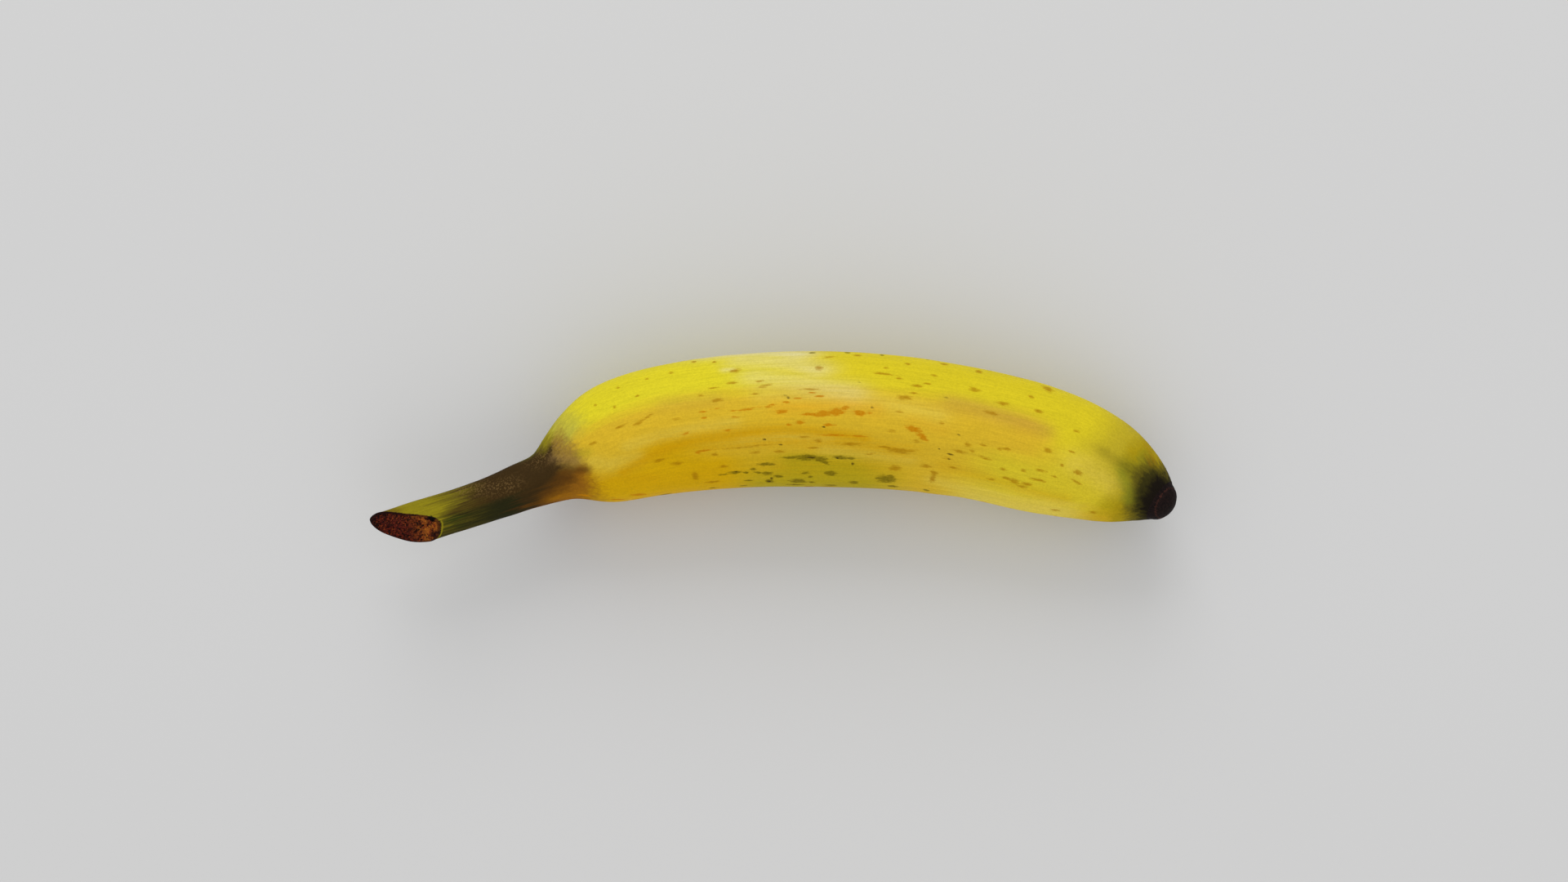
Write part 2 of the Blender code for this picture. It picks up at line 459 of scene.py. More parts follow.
def skin_tree():
    inputs = {
        "Core": "Geometry", "Sides": "Int", "Ridges": "Int", "Lean Inner": "Float", "Lean Top": "Float",
        "Torn Corner": "Float", "Dent Depth": "Float", "Seed": "Float",
        "Skin Material": "Material", "Cut Material": "Material", "Nub Material": "Material",
    }
    tree, given = group_of("Geometry", "wrap_skin_round_core", inputs, {"Skin": "Geometry"})
    core = given["Core"]

    # The flat grid: which ring a point belongs to, and how far round it is.
    count = {"Geometry": core}
    count = flow(tree, "GeometryNodeAttributeDomainSize", count, "Point Count", component="MESH")
    columns = given["Sides"] + 1
    grid = flow(tree, "GeometryNodeMeshGrid", {"Vertices X": count, "Vertices Y": columns}, "Mesh")
    index = flow(tree, "GeometryNodeInputIndex")
    ring = sum_of("FLOOR", index / columns)
    turn = (index - ring * columns) / given["Sides"]
    angle = sum_of("MULTIPLY_ADD", turn, 2 * math.pi, -math.pi / 2)
    cosine, sine = sum_of("COSINE", angle), sum_of("SINE", angle)

    # The ring leans at the cut, and the cut's rim is torn.
    read = {name: looked_up(core, ring, name) for name in rings}
    back = vector_of("NORMALIZE", vector_of("CROSS_PRODUCT", (0, 0, 1), read["ahead"]))
    top = vector_of("CROSS_PRODUCT", read["ahead"], back)
    spoke = vector_of("ADD", scaled(back, cosine), scaled(top, sine))
    slant = sine * given["Lean Top"] - cosine * given["Lean Inner"]
    near_top = sum_of("MAXIMUM", sum_of("SINE", angle - 0.1), 0)
    near_hollow = sum_of("MAXIMUM", cosine * -1, 0)
    corner = sum_of("POWER", near_top, 8) + sum_of("POWER", near_hollow, 4) * HOLLOW_CORNER
    shift = (slant + corner * given["Torn Corner"]) * read["lean"]
    along = read["along"] + shift

    # Out from the core along the spoke, by a radius that swells at the ridges.
    wave = sum_of("COSINE", (angle - math.pi / 2) * given["Ridges"])
    radius = read["reach"] * (wave * read["ridge"] + 1)
    place = vector_of("ADD", read["centre"], scaled(read["ahead"], shift))
    place = vector_of("ADD", place, scaled(spoke, radius))

    # Dents and wrinkles push the skin in and out, along the spoke or square to the cut.
    grow = xyz(along, read["reach"] * cosine, read["reach"] * sine)
    dents = (noise(grow, DENT_SIZE, 1.5, seed=given["Seed"]) - 0.5) * given["Dent Depth"]
    dents = dents * (1 - read["cut"])
    stretched = vector_of("MULTIPLY", grow, xyz(read["cut"] * 0.75 + 0.15, 1.0, 1.0))
    wrinkles = (noise(stretched, WRINKLE_SIZE, 4, 0.6, given["Seed"]) - 0.5) * read["rough"]
    push = wrinkles * 2 + (dents + read["relief"])
    outward = vector_of("ADD", read["ahead"], scaled(back, given["Lean Inner"]))
    outward = vector_of("SUBTRACT", scaled(top, given["Lean Top"]), outward)
    ways = {0: read["cut"], 4: spoke, 5: vector_of("NORMALIZE", outward)}
    way = flow(tree, "ShaderNodeMix", ways, 1, data_type="VECTOR")
    place = vector_of("ADD", place, scaled(way, push))
    skin = passed(grid, "SetPosition", {"Position": vector_of("MAXIMUM", place, (-9, -9, 0))})

    # A value is worked out for the place in the chain where it is stored, and merging renumbers the
    # points, so everything that rests on their numbers is kept before that.
    skin = stored(skin, "along", along)
    skin = stored(skin, "rim", read["rim"])
    skin = stored(skin, "cut", read["cut"])
    skin = stored(skin, "grow", grow, "FLOAT_VECTOR")
    skin = stored(skin, "compass", xyz(cosine, sine), "FLOAT_VECTOR")
    skin = stored(skin, "skin_map", xyz(along / CORE_LENGTH, turn), "FLOAT2", "CORNER")
    skin = passed(skin, "MergeByDistance", {"Distance": SEAM_GAP})
    skin = passed(passed(skin, "SetShadeSmooth"), "RealizeInstances")
    skin = passed(skin, "SetMaterial", {"Material": given["Skin Material"]})
    on_cut = sum_of("GREATER_THAN", kept(tree, "cut"), 0.4)
    skin = passed(skin, "SetMaterial", {"Selection": on_cut, "Material": given["Cut Material"]})
    on_nub = sum_of("GREATER_THAN", kept(tree, "along"), CORE_LENGTH + 0.1 * MM)
    skin = passed(skin, "SetMaterial", {"Selection": on_nub, "Material": given["Nub Material"]})
    add(tree, "NodeGroupOutput", {"Skin": skin})
    return tree


# %% Run a tree and keep its result as a plain mesh
def set_inputs(modifier, **values):
    """Sets a modifier's inputs. They are stored under identifiers, so each name is looked up first."""
    for item in modifier.node_group.interface.items_tree:
        key = item.name.replace(" ", "_").lower()
        if item.item_type == "SOCKET" and item.in_out == "INPUT" and key in values:
            modifier[item.identifier] = values.pop(key)
    assert not values, f"no such inputs: {sorted(values)}"


def run_tree(name, base_mesh, tree, **values):
    """The mesh that the tree makes from the base mesh, on a new object at the origin."""
    carrier = put(name + "_carrier", base_mesh)
    modifier = carrier.modifiers.new("nodes", "NODES")
    modifier.node_group = tree
    set_inputs(modifier, **values)
    graph = bpy.context.evaluated_depsgraph_get()
    mesh = bpy.data.meshes.new_from_object(carrier.evaluated_get(graph), depsgraph=graph)
    bpy.data.objects.remove(carrier)
    while mesh.materials and mesh.materials[0] is None:
        mesh.materials.pop(index=0)  # a primitive starts with one empty slot
    mesh.name = name
    return put(name, mesh)


peel = bpy.data.materials.new("banana_peel")
cut_flesh = bpy.data.materials.new("dried_cut")
dried_nub = bpy.data.materials.new("dried_nub")
skin = run_tree(
    "banana_skin", core_mesh, skin_tree(),
    sides=208, ridges=5, lean_inner=LEAN_INNER, lean_top=LEAN_TOP, torn_corner=0.38,
    dent_depth=0.7 * MM, seed=4.0, skin_material=peel, cut_material=cut_flesh, nub_material=dried_nub,
)
print(len(skin.data.vertices), "points and", len(skin.data.polygons), "faces in the skin")

# %% [markdown]
# ## Set the skin down on the solid's place
#
# The core's places are counted from the point that the solid was first drawn round, and the solid
# was then moved until its outline was centred on the origin. The skin moves by the same step in plan. Its
# height already counts from the table. Which way the faces look is checked too, by the sign of the
# volume they close.

# %% Centre the skin and check its faces
def values_of(mesh, name, width=1):
    """One of the mesh's kept columns."""
    holder = mesh.attributes[name].data
    flat = np.empty(len(holder) * width, np.float32)
    holder.foreach_get("value" if width == 1 else "vector", flat)
    return flat.reshape(-1, width).squeeze().astype(float)


def volume_of(mesh):
    """The volume that the faces close, which is below zero when they look inwards."""
    shape = bmesh.new()
    shape.from_mesh(mesh)
    volume = shape.calc_volume(signed=True)
    shape.free()
    return volume


skin_points = values_of(skin.data, "position", 3)
skin_middle = (skin_points.min(0) + skin_points.max(0)) / 2
move = Vector((fruit_middle.x - skin_middle[0], fruit_middle.y - skin_middle[1], 0))
for v in skin.data.vertices:
    v.co += move
if volume_of(skin.data) < 0:
    skin.data.flip_normals()
print("skin moved by", [round(c / MM, 2) for c in move], "mm, volume",
      round(volume_of(skin.data) * 1e6, 1), "cm3")

# %% [markdown]
# ## Where the ripeness shows
#
# Colour on a banana follows its growth. Each spot is a short streak that lies along the fibres, and the
# broad changes, such as the honey-coloured band beside the ridge or a soft bruise, are long strokes of
# the same kind. One kind of stroke is not the skin's own colour but a painted sheen: a pale highlight
# laid into the colour on the bulging back. Two lists say where they lie: how far along in
# millimetres, and which way round in degrees, where 0 is the bulging back, 90 the top and 180 the hollow
# side. They become smooth fields on the skin's points. Noise in the material then cuts their edges, so a
# spot is ragged and crisp even where the mesh is coarser than its edge.

# %% Spots on the top side
SPOTS = {  # along, round, length and width, and the slant in degrees where there is one
    "rust": (
        (123.5, 86.5, 5, 0.8, 3), (127, 86, 5, 1.5, 5), (130.3, 84.5, 5, 1.9, 8),
        (132.6, 80.5, 2.6, 1, 20), (116.4, 84, 3, 1, 6), (107.6, 80.8, 4.4, 0.7, 4),
        (104, 81, 2.2, 0.5), (110.8, 79, 1.8, 0.5, 5), (100, 78.6, 4.4, 0.5), (113, 80, 1.7, 0.6),
        (114.1, 78, 1.7, 0.6), (117.6, 76, 2.2, 0.8), (120.5, 73, 2.6, 0.6), (104.5, 87, 2.2, 0.6),
        (96, 79.5, 2.2, 0.6), (96.4, 85, 1.6, 0.6), (136.4, 84.6, 3.4, 1.4), (138.7, 84, 2.2, 0.6),
        (150.4, 94.3, 4.4, 1.5, -8), (153.1, 100, 3.6, 1.5, -32), (95, 114, 5.5, 0.7, 2),
        (93.6, 116.5, 1.4, 0.6), (130, 103.4, 9, 0.6), (136.5, 104, 4, 0.5), (121, 93, 2.4, 1, 5),
        (118.2, 95, 2, 0.7), (124, 67.6, 2.6, 0.6, 5), (126, 71, 3.2, 0.6, 8), (72, 156, 5.5, 1.2, -12),
        (56.5, 153, 3.6, 0.9), (65.3, 160, 4.4, 0.9, -10), (128.6, 95, 3.4, 0.8),
        (91, 96.2, 2.8, 0.6, 6), (102.2, 97.5, 2.4, 0.6),
    ),
    "faint": (
        (100, 70.5, 3, 1), (112.4, 59.2, 3.4, 0.9, 14), (111, 54, 2.8, 0.7, 6), (110, 67, 2.4, 0.7, 5),
        (105, 40, 2.6, 1.5, 8), (104, 53.5, 2.8, 0.8), (96, 63.5, 2, 0.6), (99.5, 57, 2.6, 0.6),
        (123.5, 64, 5, 0.6), (125.9, 41, 1.8, 1.6, -20), (128.4, 26.5, 2.8, 0.9, 15),
        (149.8, 62, 2.2, 0.6), (150.6, 54, 3.2, 0.9), (142, 44.6, 5, 0.8, -3), (146, 48, 1.8, 0.7),
        (153, 50, 2.2, 0.6), (154.4, 39.5, 1.8, 0.8), (148, 29, 1.6, 1.1), (165, 47.5, 2.8, 1.4),
        (172.5, 56.5, 3.4, 1.1, 4), (182, 55.5, 2.4, 1.1), (165.6, 22, 1.6, 2), (157, 19.5, 2.2, 1.4),
        (179.5, 41, 1.7, 1.1), (193, 64, 2.2, 0.7, 6), (197.4, 102, 2.8, 1.2), (180.4, 127, 2.8, 1.6),
        (155.2, 128.5, 3, 1.1), (157.8, 135, 2, 1.6), (157.8, 142, 1.6, 2.6), (147, 134, 3.2, 1.8),
        (82, 118, 4, 1, 5), (87, 124.5, 3.2, 1.2), (91.6, 142, 1.8, 3), (100, 133, 2.4, 1),
        (96.4, 151, 4.6, 1, 3), (79, 79, 3.4, 1, 16), (81.8, 75.5, 2.4, 0.6, 12),
        (73.7, 77.6, 3.8, 0.6, 5), (65, 82, 2.8, 0.6), (115.6, 119.6, 2.8, 1), (109, 120, 2.4, 0.9),
        (98, 119, 1.8, 0.9), (139.8, 120.6, 2.4, 0.6, 8), (107, 113.4, 14, 0.5, 2),
        (134.6, 111.6, 6.5, 0.9), (89, 82.5, 3.2, 0.5), (125.7, 109, 1.8, 1.2), (89, 32, 1.2, 1),
        (99.8, 25.5, 1, 1.1), (76, 34, 1, 0.9), (83, 34, 1, 0.7), (69.7, 43, 1, 0.8),
        (74, 55.6, 1, 0.8), (80, 51.6, 1.2, 0.7), (142.5, 37.6, 1.2, 0.7), (147.4, 115, 6, 1.5),
        (143.6, 112.4, 4, 0.6, -3), (150.6, 113.6, 3.4, 0.6, 4), (147.6, 114.6, 3, 0.9),
        (165.5, 101, 2, 1), (163.7, 108.5, 3.2, 1, -5), (171, 110, 4, 0.7, -6),
        (176, 97.6, 2.4, 0.8, 8), (174, 99, 1.6, 0.7), (147.6, 67.6, 3.8, 1.4, 2), (182, 113.6, 1.6, 1),
        (186.5, 109.5, 3.2, 0.7), (198, 112, 3.6, 0.8, -10), (191.7, 99.5, 1.3, 0.7),
        (183.4, 23, 2.6, 3, 50), (170, 69, 3.4, 1), (146.5, 81, 1.8, 0.6), (157.5, 86, 2, 0.6),
        (161, 117, 3, 0.6), (167, 106, 2, 0.6), (169.5, 98.5, 2, 0.6), (176.5, 117, 2.4, 0.7),
        (184, 127, 3, 1), (178, 126, 2.4, 0.9), (183, 131, 2.6, 0.9), (186, 120, 3.6, 0.8, 4),
        (190.5, 112, 2.2, 0.6), (193.5, 85, 2.6, 0.6), (174, 131, 2.4, 0.7), (163, 126, 3, 0.7),
        (152, 104.5, 2.6, 0.6), (145, 98, 2.2, 0.6), (122, 106, 3.6, 0.5), (194.5, 153, 3, 0.8),
        (206.3, 147, 2, 1.1), (187.5, 120, 2.4, 0.8), (186.8, 90, 2.2, 1.1), (124.4, 116, 3.4, 0.7),
        (135.4, 22, 1.8, 1.2), (94.8, 20, 1.2, 1.4),
    ),
    "olive": (
        (118.5, 126.3, 5, 0.8), (123, 126, 7, 1.9), (126.6, 128, 4.4, 1.8, -14),
        (128, 132, 2, 0.9, -20), (111.6, 133, 5.2, 1.1), (132, 125.6, 4.4, 1.2), (134.6, 126, 2.4, 1),
        (103, 141, 4.4, 1, 3), (99.6, 142.6, 2.6, 0.7), (106, 142, 1.6, 0.7), (108, 138, 1.8, 0.9),
        (109.3, 142, 2, 0.8), (112, 143.5, 2.8, 1.4), (112.3, 154, 2.4, 1.7), (115, 147.5, 2.6, 1.1),
        (120.3, 154, 4.8, 2, -6), (119.5, 161, 5.2, 0.9), (122.5, 143, 2.2, 0.9, 5),
        (123.8, 148, 1.7, 0.8), (124.2, 156, 1.8, 0.9), (129.4, 143.5, 3.4, 1.8), (129.6, 162, 3.6, 1),
        (106.5, 152.5, 2.4, 0.9), (105, 162, 2.4, 0.8), (145, 147.6, 5.6, 3.2), (147, 159, 3, 1.3),
        (136, 155, 2.6, 1.6), (156.8, 160, 1.9, 1.2), (96, 162, 2.8, 0.9), (124.2, 17.6, 1.8, 1.5, 20),
        (133, 15, 1.4, 1.9), (141.5, 16, 1.1, 1.9), (206, 232, 2.2, 1.4),
    ),
    "dark": (
        (117.3, 70, 1.3, 0.5, -4), (118.2, 72, 0.9, 0.8), (139.5, 79, 1, 0.6), (136, 56, 0.9, 0.5),
        (111.7, 107, 1.2, 0.6), (115.8, 113, 1.3, 0.6), (127.2, 97, 1, 0.4), (135.3, 132, 0.9, 1.1),
        (161.3, 112.6, 2.2, 0.6, -5), (161.2, 118, 1.1, 0.5, 8), (158, 108.6, 0.9, 0.5, -10),
        (162.6, 94, 1.2, 0.5, -8), (158, 61.6, 1.6, 0.5), (113, 150, 0.9, 1.1), (131, 126.4, 1, 0.6),
        (124, 126, 3, 0.7), (112.2, 154.4, 1.2, 0.9), (152.8, 13, 1.4, 0.6), (103.4, 140.6, 1.4, 0.5),
    ),
}

# %% Broad strokes
STROKES = {  # half width in mm, strength, and the places along it, each as along and round
    "amber": (
        (1.5, 1, ((70, 122), (75, 117), (80, 112), (85, 108), (90, 104.5), (95, 103), (100, 102),
         (110, 100))),
        (1.3, 0.9, ((108, 100), (115, 99), (122, 100), (130, 102), (138, 106))),
        (1.6, 0.5, ((61, 119), (66, 125), (72, 131), (79, 136))),
        (1, 0.5, ((96, 112), (106, 112), (118, 110), (132, 110), (146, 114))),
        (2, 0.4, ((160, 126), (172, 130), (184, 134), (196, 136))),
    ),
    # Painted sheen: a pale highlight on the back, put into the colour instead of coming from a lamp.
    "painted_sheen": (
        (3.8, 1.25, ((99, 5), (106, 9), (114, 13), (120, 18))),
        (3.4, 0.62, ((107, 26), (113, 29), (120, 34), (125, 42))),
        (3.2, 0.45, ((110, 48), (118, 54), (126, 60), (134, 66))),
        (1, 0.6, ((102.6, 38), (104, 38))),
    ),
    "straw": (
        (1.5, 0.6, ((74, 98), (84, 95), (94, 93), (104, 91))),
        (1.8, 0.5, ((63, 100), (67, 108), (76, 108))),
        (1.4, 0.5, ((106, 106), (118, 105), (128, 107))),
        (2.6, 0.6, ((112, 68), (122, 70), (134, 73), (146, 76), (156, 79))),
        (3.4, 0.6, ((196, 94), (202, 97), (207, 103))),
        (1.7, 0.6, ((158, 144), (168, 150), (180, 152), (190, 153), (200, 153))),
        (2, 0.5, ((128, 118), (138, 122), (150, 124))),
    ),
    "flush": (
        (2, 0.75, ((116, 81), (124, 80), (132, 79), (140, 81))),
        (1.6, 0.35, ((150, 88), (158, 92))),
        (1.4, 0.5, ((66, 164), (78, 162), (90, 164))),
        (2.4, 0.4, ((180, 74), (184, 80))),
    ),
    "bruise": (
        (2.6, 0.85, ((160, 66), (166, 67), (172, 69), (180, 71), (184, 74))),
        (2.2, 0.45, ((87, 66), (93, 68), (99, 69))),
        (3.6, 0.6, ((130, 250), (142, 243), (150, 247))),
        (3, 0.5, ((84, 300), (94, 296))),
        (2.6, 0.5, ((188, 215), (196, 222))),
    ),
    "greyed": (
        (1.1, 0.45, ((53.4, 64), (54.2, 70), (55.2, 78), (57, 86), (58.4, 91))),
        (1.6, 0.6, ((53, 235), (55, 240), (58, 236))),
    ),
    "green": (
        (1.5, 0.5, ((46.5, 4), (49, 8), (51, 10))),
        (2.2, 0.3, ((56, 4), (61, 7), (66, 6))),
        (1.2, 0.4, ((61, 85), (62.5, 88))),
        (1.4, 0.7, ((208.6, 84), (211, 92), (213.5, 104), (214.5, 118))),
        (2, 0.6, ((49, 345), (53, 350))),
    ),
    "smoke": (
        (1.7, 0.3, ((202.5, 73), (206, 75), (210, 76))),
        (1.8, 0.45, ((210, 76), (213, 78), (215, 82))),
        (1.8, 0.4, ((213.5, 74), (215, 86), (216, 98))),
        (1.4, 0.6, ((204, 200), (209, 202), (214, 204))),
        (1.4, 0.6, ((204, 285), (209, 283), (214, 280))),
    ),
    "orange": (
        (0.7, 0.25, ((211.5, 26), (213.5, 30), (215, 36))),
        (0.6, 0.3, ((213, 42), (214.5, 46))),
        (1.4, 0.45, ((49, 147), (52, 150), (56, 152))),
    ),
    "umber": (
        (1.2, 0.85, ((53.5, 99), (56.5, 102), (60, 106))),
        (1.2, 0.7, ((6.5, 12), (8, 24), (9.4, 36))),
    ),
    "char": (
        (0.62, 1.25, ((17.7, 89), (18.1, 94), (17.9, 98))),
        (0.8, 0.6, ((4.2, 4), (6, 20), (7.6, 32))),
        (1.3, 0.8, ((3, 340), (3.6, 0))),
    ),
    "stipple": (
        (2.6, 1, ((50, 40), (53, 48), (56, 56), (57, 70))),
        (2.4, 0.9, ((28, 32), (32, 46), (36, 62), (40, 74))),
        (2.4, 0.8, ((40, 250), (47, 255), (54, 262))),
    ),
    "streaky": (
        (3.6, 1, ((84, 104), (100, 104), (116, 106), (132, 110), (150, 116))),
        (3.6, 0.6, ((66, 140), (82, 146), (100, 140), (120, 136), (140, 130))),
        (4.5, 0.5, ((70, 250), (100, 252), (150, 250))),
    ),
}

# %% Turn the lists into fields on the skin
HIDDEN_SPOTS = 210
DEGREE_MM = 0.3  # about how far one degree round is over the skin
PATH_STEPS = 24
grow = values_of(skin.data, "grow", 3)
along_mm = values_of(skin.data, "along") / MM
round_deg = np.degrees(np.arctan2(grow[:, 2], grow[:, 1]))
reach_mm = np.hypot(grow[:, 1], grow[:, 2]) / MM  # turns degrees into distance over the skin


def offsets(place, turn):
    """How far each point of the skin is from a place, in mm along it and in mm round it."""
    swing = (round_deg - turn + 180) % 360 - 180
    return along_mm - place, np.radians(swing) * reach_mm


def spot_field(spots):
    """1 in the middle of a spot, 0 on its outline, and below 0 outside it."""
    field = np.full(len(along_mm), -1.0)
    for place, turn, length, width, *slant in spots:
        du, dv = offsets(place, turn)
        near = (np.abs(du) < 12) & (np.abs(dv) < 8)
        slant = math.radians(slant[0] if slant else 0)
        c, s = math.cos(slant), math.sin(slant)
        # A streak with a slant above zero turns towards the back as it runs to the tip.
        u, v = du[near] * c - dv[near] * s, du[near] * s + dv[near] * c
        reach = np.sqrt((2 * u / length) ** 2 + (2 * v / width) ** 2)
        field[near] = np.maximum(field[near], 1 - reach)
    return field


def stroke_field(strokes):
    """A soft band of paint along each path, strongest on the path itself."""
    field = np.zeros(len(along_mm))
    for width, strength, path in strokes:
        places, turns = np.array(path, float).T
        gaps = np.hypot(np.diff(places), np.diff(turns) * DEGREE_MM)
        stops = np.concatenate([[0], np.cumsum(gaps)])
        walk = np.linspace(0, stops[-1], PATH_STEPS)
        nearest = np.full(len(along_mm), 1e3)
        for place, turn in zip(np.interp(walk, stops, places), np.interp(walk, stops, turns)):
            du, dv = offsets(place, turn)
            nearest = np.minimum(nearest, np.hypot(du * 0.7, dv))
        field = np.maximum(field, strength * np.exp(-((nearest / width) ** 2)))
    return field


def hidden_spots(rng, count):
    """Spots for the sides that the list leaves out, with the same habit: short streaks along the fibres."""
    found = {tone: [] for tone in SPOTS}
    for _ in range(count):
        place, turn = rng.uniform(64, 204), rng.uniform(165, 372)
        tone = rng.choice(list(SPOTS), p=[0.3, 0.35, 0.2, 0.15])
        size = 0.35 if tone == "dark" else 1.0
        length = size * rng.uniform(1.6, 4.2) * (2.2 if rng.random() < 0.08 else 1.0)
        found[tone].append((place, turn, length, size * rng.uniform(0.7, 1.7), rng.uniform(-12, 12)))
    return found


extra = hidden_spots(np.random.default_rng(11), HIDDEN_SPOTS)
for tone, spots in SPOTS.items():
    keep(skin.data, "spot_" + tone, spot_field(list(spots) + extra[tone]))
for tone, strokes in STROKES.items():
    keep(skin.data, "stroke_" + tone, stroke_field(strokes))
print(sum(len(s) + len(extra[t]) for t, s in SPOTS.items()), "spots and",
      sum(map(len, STROKES.values())), "strokes painted")

# %% [markdown]
# ## Shared effects
#
# Three effects turn up in more than one finish, so each is a node group. Fibres are noise stretched along
# the growth of the fruit. Pores are fine even mottling. A ragged patch takes a smooth field and cuts it
# to shape with noise. Each puts out plain values only, so that any material can use them.

# %% Fibre, pore and ragged-edge groups
def lengthwise_noise(vector, width, length, detail=3.0, roughness=0.55, seed=0.0):
    """Noise whose blobs are longer along the growth than across it."""
    squeezed = vector_of("MULTIPLY", vector, xyz(width / length, 1.0, 1.0))
    return noise(squeezed, width, detail, roughness, seed)


def fibre_group():
    inputs = {"Growth": "Vector", "Width": "Float", "Length": "Float", "Seed": "Float"}
    outputs = {"Fibre": "Float", "Fine Fibre": "Float"}
    tree, given = group_of("Shader", "lengthwise_fibres", inputs, outputs)
    growth, width, length, seed = (given[name] for name in inputs)
    broad = lengthwise_noise(growth, width, length, seed=seed)
    thin = lengthwise_noise(growth, width * 0.28, length * 0.4, seed=seed)
    add(tree, "NodeGroupOutput", {"Fibre": rising(broad, 0.3, 0.7), "Fine Fibre": rising(thin, 0.3, 0.7)})
    return tree


def pore_group():
    inputs = {"Growth": "Vector", "Size": "Float", "Seed": "Float"}
    tree, given = group_of("Shader", "fine_pores", inputs, {"Mottle": "Float", "Pore": "Float"})
    mottle = noise(given["Growth"], given["Size"], 4.0, seed=given["Seed"])
    cells = {"Vector": given["Growth"], "Scale": 1 / given["Size"], "Randomness": 1.0}
    pore = flow(tree, "ShaderNodeTexVoronoi", cells, "Distance")
    add(tree, "NodeGroupOutput", {"Mottle": rising(mottle, 0.3, 0.7), "Pore": rising(pore, 0.32, 0.08)})
    return tree


def ragged_group():
    inputs = {"Growth": "Vector"}
    inputs.update(dict.fromkeys(("Field", "Raggedness", "Softness", "Grain", "Seed"), "Float"))
    tree, given = group_of("Shader", "ragged_patch", inputs, {"Patch": "Float"})
    grain, soft = given["Grain"], given["Softness"]
    chop = lengthwise_noise(given["Growth"], grain, grain * 2.6, 3.5, 0.62, given["Seed"]) - 0.5
    edge = chop * given["Raggedness"] + (given["Field"] - 0.04)
    add(tree, "NodeGroupOutput", {"Patch": rising(edge, soft * -0.5, soft * 0.5)})
    return tree


FIBRES, PORES, RAGGED = fibre_group(), pore_group(), ragged_group()
print("groups:", FIBRES.name, PORES.name, RAGGED.name)


# %% Helpers for materials
def use_group(group, **values):
    """The outputs of one of the shared groups, placed in a material with its own values."""
    inputs = {name.replace("_", " ").title(): value for name, value in values.items()}
    return flows(add(tree_of(*values.values()), "ShaderNodeGroup", inputs, node_tree=group))


def opened(material):
    """A material's tree, its shader, and the map of growth that the mesh carries."""
    material.use_nodes = True
    tree = material.node_tree
    return tree, tree.nodes["Principled BSDF"], read_field(tree, "grow", "Vector")


def read_field(tree, name, out="Fac"):
    """A column that the mesh carries."""
    return flow(tree, "ShaderNodeAttribute", None, out, attribute_name=name)


def parts_of(vector):
    """The X, Y and Z of a vector."""
    return flows(add(tree_of(vector), "ShaderNodeSeparateXYZ", {0: vector}))


def colour_mix(share, a, b, blend="MIX"):
    """Two colours mixed. A share of 0 gives the first and 1 gives the second."""
    inputs = {0: share, 6: a, 7: b}
    return flow(tree_of(share, a, b), "ShaderNodeMix", inputs, 2, data_type="RGBA", blend_type=blend)


def bumped(height, strength, distance):
    """The surface lifted by a height, as a normal."""
    inputs = {"Strength": strength, "Distance": distance, "Height": height}
    return flow(tree_of(height), "ShaderNodeBump", inputs)


def charred(tree, mottle):
    """Where the rim of the cut dried to black crumbs."""
    return rising((mottle - 0.5) * 0.7 + read_field(tree, "stroke_char"), 0.45, 0.85)


# %% [markdown]
# ## The peel
#
# The peel's colour changes along the fruit, from the olive stalk through the brown neck into yellow and
# out to the black tip, and it changes round it, from lemon on the sunlit back to ochre on the hollow
# side. Seven colour ramps run along the fruit, one for each band round it, and the bands are blended by
# the angle. A short palette keeps them in one family. Strokes, spots and fibres are then laid over, the
# way the marks came on the real fruit, and the fibres also lift the surface a little. One of the strokes
# is a painted sheen instead: a pale highlight on the back, put into the colour.

# %% Palette
PALETTE = {
    "lemon": "d9cb25", "butter": "d4bf28", "corn": "d4c120", "wheat": "e0c94c",
    "gold": "d2ae28", "honey": "cfa404", "ochre": "c8a61c", "leaf": "b29d14",
    "mustard": "a58e0e", "khaki": "b9a524", "lime": "bcb23c", "olive": "918516",
    "moss": "665b14", "fern": "2f380e", "pine": "26250f", "bark": "392911", "umber": "5c3a0e",
    # The pale yellow-white at the end of the next line is a painted sheen: a highlight put into the colour.
    "russet": "8e5c12", "tan": "98792e", "dusk": "37320f", "soot": "17120c", "painted_sheen": "ddd290",
    "straw": "d5bd48", "flush": "dba521", "bruise": "bb9536", "greyed": "8d6f42",
    "green": "84861c", "orange": "a8700c", "amber": "c89803", "rust": "c07c00",
    "faint": "a67600", "spot": "6a5b04", "speck": "3c2c08",
    # the cut, the nub and the strand ends
    "maroon": "240d0a", "brick": "702618", "clot": "170a0a", "ember": "c87424", "pit": "120707",
    "scorch": "1c0b07", "crumb": "0c0707", "coal": "0b0606", "cinder": "1f1210",
    "flower ring": "5e3328", "dark strand": "1c0a08", "bright strand": "8a3c1a",
}


def linear(code):
    """A colour such as d8cc2c as the linear numbers that shaders work in."""
    parts = [int(code[i : i + 2], 16) / 255 for i in (0, 2, 4)]
    return tuple(c / 12.92 if c < 0.0405 else ((c + 0.055) / 1.055) ** 2.4 for c in parts) + (1.0,)


COLOUR = {name: linear(code) for name, code in PALETTE.items()}

